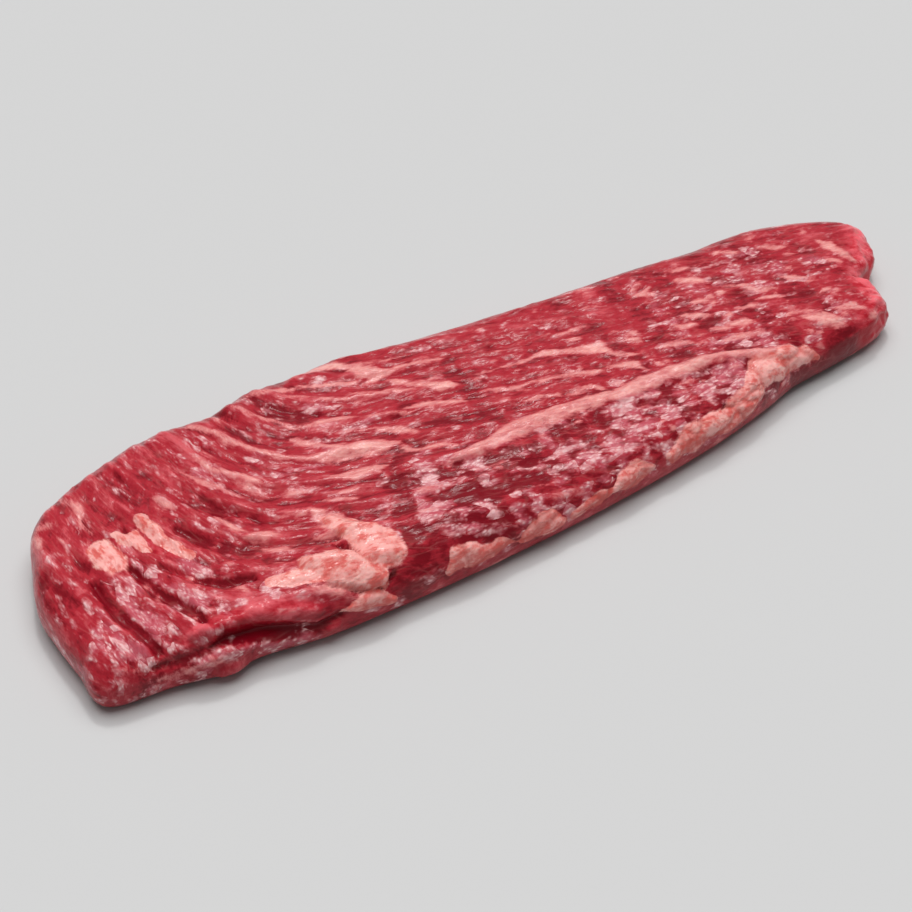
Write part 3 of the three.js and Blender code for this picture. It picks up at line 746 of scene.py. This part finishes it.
def raw_beef(colours):
    """Raw beef, cut and still wet: lean muscle in fine parallel fibres, fat in soft opaque grains
    and thin membrane stretched over both. The lean is deep and a little translucent, the fat
    scatters light, and moisture gives all of it a clear gloss broken by the fibres."""
    material = bpy.data.materials.new("raw beef")
    material.use_nodes = True
    tree = material.node_tree
    tree.nodes.clear()

    def calc(operation, a, b):
        return add(tree, "ShaderNodeMath", {"operation": operation}, {0: a, 1: b}).outputs[0]

    def ramp(item, low, high, to_low=0.0, to_high=1.0):
        """A smooth step from one value at low to the other at high."""
        return add(tree, "ShaderNodeMapRange", {"interpolation_type": "SMOOTHSTEP"}, {
            "Value": item, "From Min": low, "From Max": high, "To Min": to_low, "To Max": to_high,
        }).outputs["Result"]

    def blend(factor, a, b):
        """The colour a where the factor is 0 and b where it is 1."""
        a, b = (c if isinstance(c, bpy.types.NodeSocket) else (*c, 1) for c in (a, b))
        return add(tree, "ShaderNodeMix", {"data_type": "RGBA"}, {0: factor, 6: a, 7: b}).outputs[2]

    def sway(field, *patterns):
        """The field plus each pattern, centred on 0, times its strength."""
        for pattern, strength in patterns:
            field = calc("ADD", field, calc("MULTIPLY", calc("SUBTRACT", pattern, 0.5), strength))
        return field

    def scaled(vector, sizes):
        """The vector with these sizes, in millimetres, as its units."""
        scale = tuple(1 / size for size in sizes)
        return add(tree, "ShaderNodeMapping", None, {"Vector": vector, "Scale": scale}).outputs[0]

    def blotches(vector, sizes, detail, roughness=0.5):
        """Noise in blotches of these sizes, along, across and through the fibres."""
        return add(tree, "ShaderNodeTexNoise", None, {
            "Vector": scaled(vector, sizes), "Scale": 1.0, "Detail": detail, "Roughness": roughness,
        })

    def borders(vector, sizes):
        """The distance to the borders of cells of these sizes."""
        return add(tree, "ShaderNodeTexVoronoi", {"feature": "DISTANCE_TO_EDGE"}, {
            "Vector": scaled(vector, sizes), "Scale": 1.0,
        }).outputs["Distance"]

    field = {name: add(tree, "ShaderNodeAttribute", {"attribute_name": name}).outputs["Fac"]
             for name in ("streak", "fat", "skin", "tone_and_shade", "crease", "cut", "pale")}
    fibre = add(tree, "ShaderNodeAttribute", {"attribute_name": "fibre"}).outputs["Vector"]
    offset = add(tree, "ShaderNodeVectorMath", {"operation": "MULTIPLY_ADD"}, {
        0: blotches(fibre, (9, 4, 4), 1).outputs["Color"], 1: (3.5, 1.8, 1.8), 2: fibre,
    }).outputs[0]

    thread = blotches(offset, (2.8, 0.6, 0.8), 3).outputs["Fac"]
    strand = blotches(offset, (8, 1.8, 2.4), 2).outputs["Fac"]
    crinkle = blotches(offset, (1.8, 1.0, 1.1), 4, 0.62).outputs["Fac"]
    mottle = blotches(offset, (5, 2.6, 2.8), 3, 0.55).outputs["Fac"]
    tile = add(tree, "ShaderNodeTexVoronoi", None, {
        "Vector": scaled(offset, (5.0, 3.2, 3.4)), "Scale": 1.0, "Randomness": 0.9,
    }).outputs
    dome = ramp(tile["Distance"], 0.15, 0.75, 1.0, 0.0)
    # Small domes for the bump; in the colours below they also pale the membrane at their centres, as
    # painted glints
    bead = add(tree, "ShaderNodeTexVoronoi", None, {
        "Vector": scaled(offset, (1.9, 1.3, 1.4)), "Scale": 1.0, "Randomness": 1.0,
    }).outputs["Distance"]
    bead = ramp(bead, 0.1, 0.65, 1.0, 0.0)
    patches = blotches(fibre, (15, 6, 6), 1).outputs["Fac"]
    grains = blotches(fibre, (2.6, 2.2, 2.2), 2).outputs["Fac"]
    veins = ramp(borders(offset, (11, 2.2, 3)), 0.0, 0.13, 1.0, 0.0)
    veins = calc("MULTIPLY", veins, ramp(patches, 0.44, 0.6))

    shade = calc("MULTIPLY", field["tone_and_shade"], 0.55)
    shade = sway(shade, (thread, 0.4), (strand, 0.6), (mottle, 1.2), (crinkle, 0.6))
    # The deep end of this ramp carries the painted shade of the grooves, the fold and the low near-right
    # side; the light end carries the painted light on the crests
    lean = blend(ramp(shade, -0.55, 0.0), colours.lean_deep_and_shade, colours.lean)
    lean = blend(ramp(shade, 0.0, 0.6), lean, colours.lean_light)
    lean = blend(calc("MULTIPLY", veins, 0.1), lean, colours.vein)
    # On the cut lean this ramp paints light towards the top and shade below
    fresh = blend(ramp(shade, -0.3, 0.5), colours.cut_deep_and_shade, colours.cut_light)
    lean = blend(field["cut"], lean, fresh)
    skin = sway(field["skin"], (tile["Color"], 1.1), (dome, 0.5), (mottle, 1.7), (crinkle, 0.3),
                (bead, 0.3))
    skin = ramp(skin, -0.35, 0.8)
    film = sway(mottle, (tile["Color"], 0.35), (crinkle, 0.35), (bead, 0.15))
    membrane = blend(ramp(film, 0.35, 0.72), colours.skin_deep, colours.skin_pale)
    lean = blend(calc("MULTIPLY", skin, 0.85), lean, membrane)
    # The white net in the membrane, with painted glints in it: white specks on the beads and the film
    white_net_and_glints = ramp(sway(film, (bead, 0.3)), 0.58, 0.85, 0.0, 0.7)
    lean = blend(calc("MULTIPLY", ramp(skin, 0.4, 1.0), white_net_and_glints), lean, colours.skin_white_and_glint)
    thick = sway(field["streak"], (thread, 0.6), (strand, 0.7), (crinkle, 1.0), (mottle, 1.8),
                 (patches, 1.1))
    grain_in_fat = calc("MULTIPLY", field["streak"], 0.75)
    grain_in_fat = sway(grain_in_fat, (thread, 0.6), (crinkle, 1.0), (mottle, 1.6), (patches, 0.7))
    streak_colour = blend(ramp(grain_in_fat, 0.0, 1.15), colours.streak, colours.streak_pale)
    cream_in_fat = calc("MULTIPLY", ramp(grain_in_fat, 0.7, 1.3, 0.0, 0.4), ramp(patches, 0.4, 0.6))
    streak_colour = blend(cream_in_fat, streak_colour, colours.fat_cream)
    lean = blend(ramp(thick, -0.2, 0.6, 0.0, 0.88), lean, streak_colour)
    lean = blend(calc("MULTIPLY", skin, 0.3), lean, membrane)
    soft = blotches(offset, (6, 5, 5), 4).outputs["Fac"]
    soft = sway(soft, (grains, 0.8), (crinkle, 0.4), (field["pale"], 0.16))
    fat_colour = blend(ramp(soft, 0.35, 0.73), colours.fat_warm, colours.fat_pale)
    cream = calc("MULTIPLY", ramp(sway(mottle, (crinkle, 0.5)), 0.52, 0.72, 0.0, 0.4), field["pale"])
    fat_colour = blend(cream, fat_colour, colours.fat_cream)
    # Painted shade in the creases and grooves of the fat
    fat_colour = blend(calc("MULTIPLY", field["crease"], 0.6), fat_colour, colours.fat_crease)
    fat = ramp(sway(field["fat"], (crinkle, 0.35)), -0.08, 0.14)
    body = blend(fat, lean, fat_colour)

    bare_fat = calc("SUBTRACT", 1.0, calc("MULTIPLY", fat, 0.75))
    height = sway(0.0, (thread, 0.06), (strand, 0.2), (mottle, 0.32))
    film_relief = sway(0.0, (crinkle, 0.15), (dome, 0.18), (bead, 0.08))
    height = calc("ADD", height, calc("MULTIPLY", calc("ADD", skin, 0.12), film_relief))
    height = calc("MULTIPLY", height, bare_fat)
    height = calc("ADD", height, calc("MULTIPLY", fat, sway(0.0, (grains, 0.22), (bead, 0.12))))
    bump = add(tree, "ShaderNodeBump", None, {"Height": height, "Strength": 1.0, "Distance": MM})
    rough = calc("SUBTRACT", 0.30, calc("MULTIPLY", calc("MAXIMUM", skin, fat), 0.08))

    shader = add(tree, "ShaderNodeBsdfPrincipled", None, {
        "Base Color": body, "Roughness": rough, "IOR": 1.40, "Normal": bump.outputs[0],
        "Specular IOR Level": 0.22,
        "Subsurface Weight": 0.15, "Subsurface Radius": (1.0, 0.35, 0.25), "Subsurface Scale": 1.2 * MM,
        "Coat Weight": 0.34, "Coat Roughness": 0.2,
        "Coat IOR": 1.36, "Coat Normal": bump.outputs[0],
    })
    output = add(tree, "ShaderNodeOutputMaterial", None, {"Surface": shader.outputs[0]})
    output.is_active_output = True
    return material


def studio_floor(colours):
    """Smooth painted board: matt, pale and even, so that it only takes the shadow."""
    material = bpy.data.materials.new("painted board")
    material.use_nodes = True
    shader = material.node_tree.nodes["Principled BSDF"]
    shader.inputs["Base Color"].default_value = (*colours.floor, 1)
    shader.inputs["Roughness"].default_value = 0.9
    shader.inputs["Specular IOR Level"].default_value = 0.1
    return material


# Add-on

def colour_property(name, description, code):
    """A colour setting whose default is written as sRGB hex."""
    return bpy.props.FloatVectorProperty(
        name=name, description=description, subtype="COLOR", size=3, min=0, max=1, default=linear(code),
    )


class SteakSettings(bpy.types.PropertyGroup):
    """Sizes and colours of the steak."""

    bundle_spacing: bpy.props.FloatProperty(
        name="Bundle spacing", description="Distance between two muscle bundles",
        default=15 * MM, min=4 * MM, max=40 * MM, unit="LENGTH",
    )
    bundle_depth: bpy.props.FloatProperty(
        name="Bundle depth", description="Depth of the valleys between the bundles at the wide end",
        default=1.3 * MM, min=0, max=4 * MM, unit="LENGTH",
    )
    # Deep lean also paints the shade in the grooves, the fold and the low near-right side
    lean_deep_and_shade: colour_property("Deep lean", "Lean between the fibres", "#7a0818")
    lean: colour_property("Lean", "Middle colour of the lean", "#aa2431")
    # Light lean also paints the light on the crests of the bundles
    lean_light: colour_property("Light lean", "Lean on top of the fibres", "#cc545c")
    vein: colour_property("Vein", "Thin lines of fat round the fibre bundles", "#dd8c86")
    # The deep cut colour also paints shade low on the cut end, and the light cut colour paints light on its
    # top
    cut_deep_and_shade: colour_property("Deep cut", "Lean at the cut end, between the fibres", "#bd1226")
    cut_light: colour_property("Light cut", "Lean at the cut end, on the fibres", "#ee6a74")
    skin_deep: colour_property("Deep membrane", "Lean that shows through the membrane", "#bf5663")
    skin_pale: colour_property("Pale membrane", "Membrane at its thickest", "#e3a8aa")
    # White membrane: the white net in the membrane, with glints painted into it
    skin_white_and_glint: colour_property("White membrane", "Fat under the membrane", "#f0cbcb")
    streak: colour_property("Streak", "Streaks of fat where they are thin", "#cc6266")
    streak_pale: colour_property("Pale streak", "Streaks of fat where they are thick", "#efa7a1")
    fat_pale: colour_property("Pale fat", "Fat on top of its lobules", "#f3aea8")
    fat_warm: colour_property("Warm fat", "Fat where it is thinner", "#d9655f")
    fat_cream: colour_property("Creamy fat", "Fat in its thickest spots", "#f9ccbf")
    # The fat crease colour paints shade in the creases and grooves of the fat
    fat_crease: colour_property("Fat crease", "Fat in the creases of its lobules", "#c2463f")


class StudioSettings(bpy.types.PropertyGroup):
    """The floor, the light and the camera."""

    floor: colour_property("Floor", "Colour of the floor", "#c5c5c5")
    key: bpy.props.FloatProperty(
        name="Key light", description="Strength of the broad light from above", default=2.5, min=0,
    )
    window: bpy.props.FloatProperty(
        name="Window light", description="Strength of the smaller light from behind", default=0.75, min=0,
    )
    ambient: bpy.props.FloatProperty(
        name="Ambient", description="Strength of the surroundings", default=0.22, min=0,
    )
    lens: bpy.props.FloatProperty(
        name="Lens", description="Focal length in millimetres", default=85.0, min=10,
    )
    azimuth: bpy.props.FloatProperty(
        name="Azimuth", description="Where the camera stands round the steak",
        default=math.radians(-33), subtype="ANGLE",
    )
    elevation: bpy.props.FloatProperty(
        name="Elevation", description="How far the camera looks down",
        default=math.radians(40), subtype="ANGLE",
    )
    distance: bpy.props.FloatProperty(
        name="Distance", description="From the camera to the point it looks at",
        default=786.4 * MM, unit="LENGTH",
    )


class BuildSteak(bpy.types.Operator):
    """Build the steak"""

    bl_idname = "steak.build"
    bl_label = "Steak"

    def execute(self, context):
        settings = context.scene.steak_settings
        steak = bpy.data.objects.new("beef", beef_mesh(settings))
        context.scene.collection.objects.link(steak)
        steak.data.materials.append(raw_beef(settings))
        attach(steak, "root")
        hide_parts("steak")
        return {"FINISHED"}


class BuildStudio(bpy.types.Operator):
    """Build the floor, the lights and the camera"""

    bl_idname = "steak.studio"
    bl_label = "Studio"

    def execute(self, context):
        settings = context.scene.studio_settings
        scene = context.scene
        mesh = bpy.data.meshes.new("floor")
        corners = [(x * FLOOR_HALF_WIDTH, y * FLOOR_HALF_WIDTH, 0) for x, y in FLOOR_CORNERS]
        mesh.from_pydata(corners, [], [(0, 1, 2, 3)])
        floor = bpy.data.objects.new("floor", mesh)
        scene.collection.objects.link(floor)
        mesh.materials.append(studio_floor(settings))

        # Name, strength, width of the light as an angle, and turn, both in degrees
        lights = (
            ("soft light", settings.key, 62, (-10, 8, 0)),
            ("window light", settings.window, 8, (-25, 17, 0)),
        )
        for name, strength, width, turn in lights:
            sun = bpy.data.lights.new(name, "SUN")
            sun.energy = strength
            sun.angle = math.radians(width)
            light = bpy.data.objects.new(name, sun)
            light.rotation_euler = [math.radians(angle) for angle in turn]
            light.visible_glossy = name == "window light"
            scene.collection.objects.link(light)

        world = bpy.data.worlds.new("surroundings")
        world.use_nodes = True
        world.node_tree.nodes["Background"].inputs["Color"].default_value = (1, 1, 1, 1)
        world.node_tree.nodes["Background"].inputs["Strength"].default_value = settings.ambient
        scene.world = world

        camera = bpy.data.objects.new("camera", bpy.data.cameras.new("camera"))
        camera.data.lens = settings.lens
        camera.data.sensor_width = SENSOR_WIDTH
        a, e = settings.azimuth, settings.elevation
        back = np.array([math.sin(a) * math.cos(e), -math.cos(a) * math.cos(e), math.sin(e)])
        camera.location = np.array(CAMERA_TARGET) * MM + back * settings.distance
        camera.rotation_euler = (math.pi / 2 - e, 0, a)
        scene.collection.objects.link(camera)
        scene.camera = camera
        scene.view_settings.view_transform = "Standard"
        return {"FINISHED"}


class SteakPanel(bpy.types.Panel):
    """The steak's sizes and colours and the buttons that build it"""

    bl_idname = "VIEW3D_PT_steak"
    bl_label = "Steak"
    bl_space_type = "VIEW_3D"
    bl_region_type = "UI"
    bl_category = "Steak"

    def draw(self, context):
        for settings in (context.scene.steak_settings, context.scene.studio_settings):
            for name in settings.__annotations__:
                self.layout.prop(settings, name)
        for operator in (BuildSteak, BuildStudio):
            self.layout.operator(operator.bl_idname)


CLASSES = (SteakSettings, StudioSettings, BuildSteak, BuildStudio, SteakPanel)


def register():
    for item in CLASSES:
        bpy.utils.register_class(item)
    bpy.types.Scene.steak_settings = bpy.props.PointerProperty(type=SteakSettings)
    bpy.types.Scene.studio_settings = bpy.props.PointerProperty(type=StudioSettings)


def unregister():
    del bpy.types.Scene.studio_settings
    del bpy.types.Scene.steak_settings
    for item in reversed(CLASSES):
        bpy.utils.unregister_class(item)


def main():
    """Builds the steak and the studio."""
    register()
    bpy.ops.steak.build()
    bpy.ops.steak.studio()


if __name__ == "__main__":
    main()
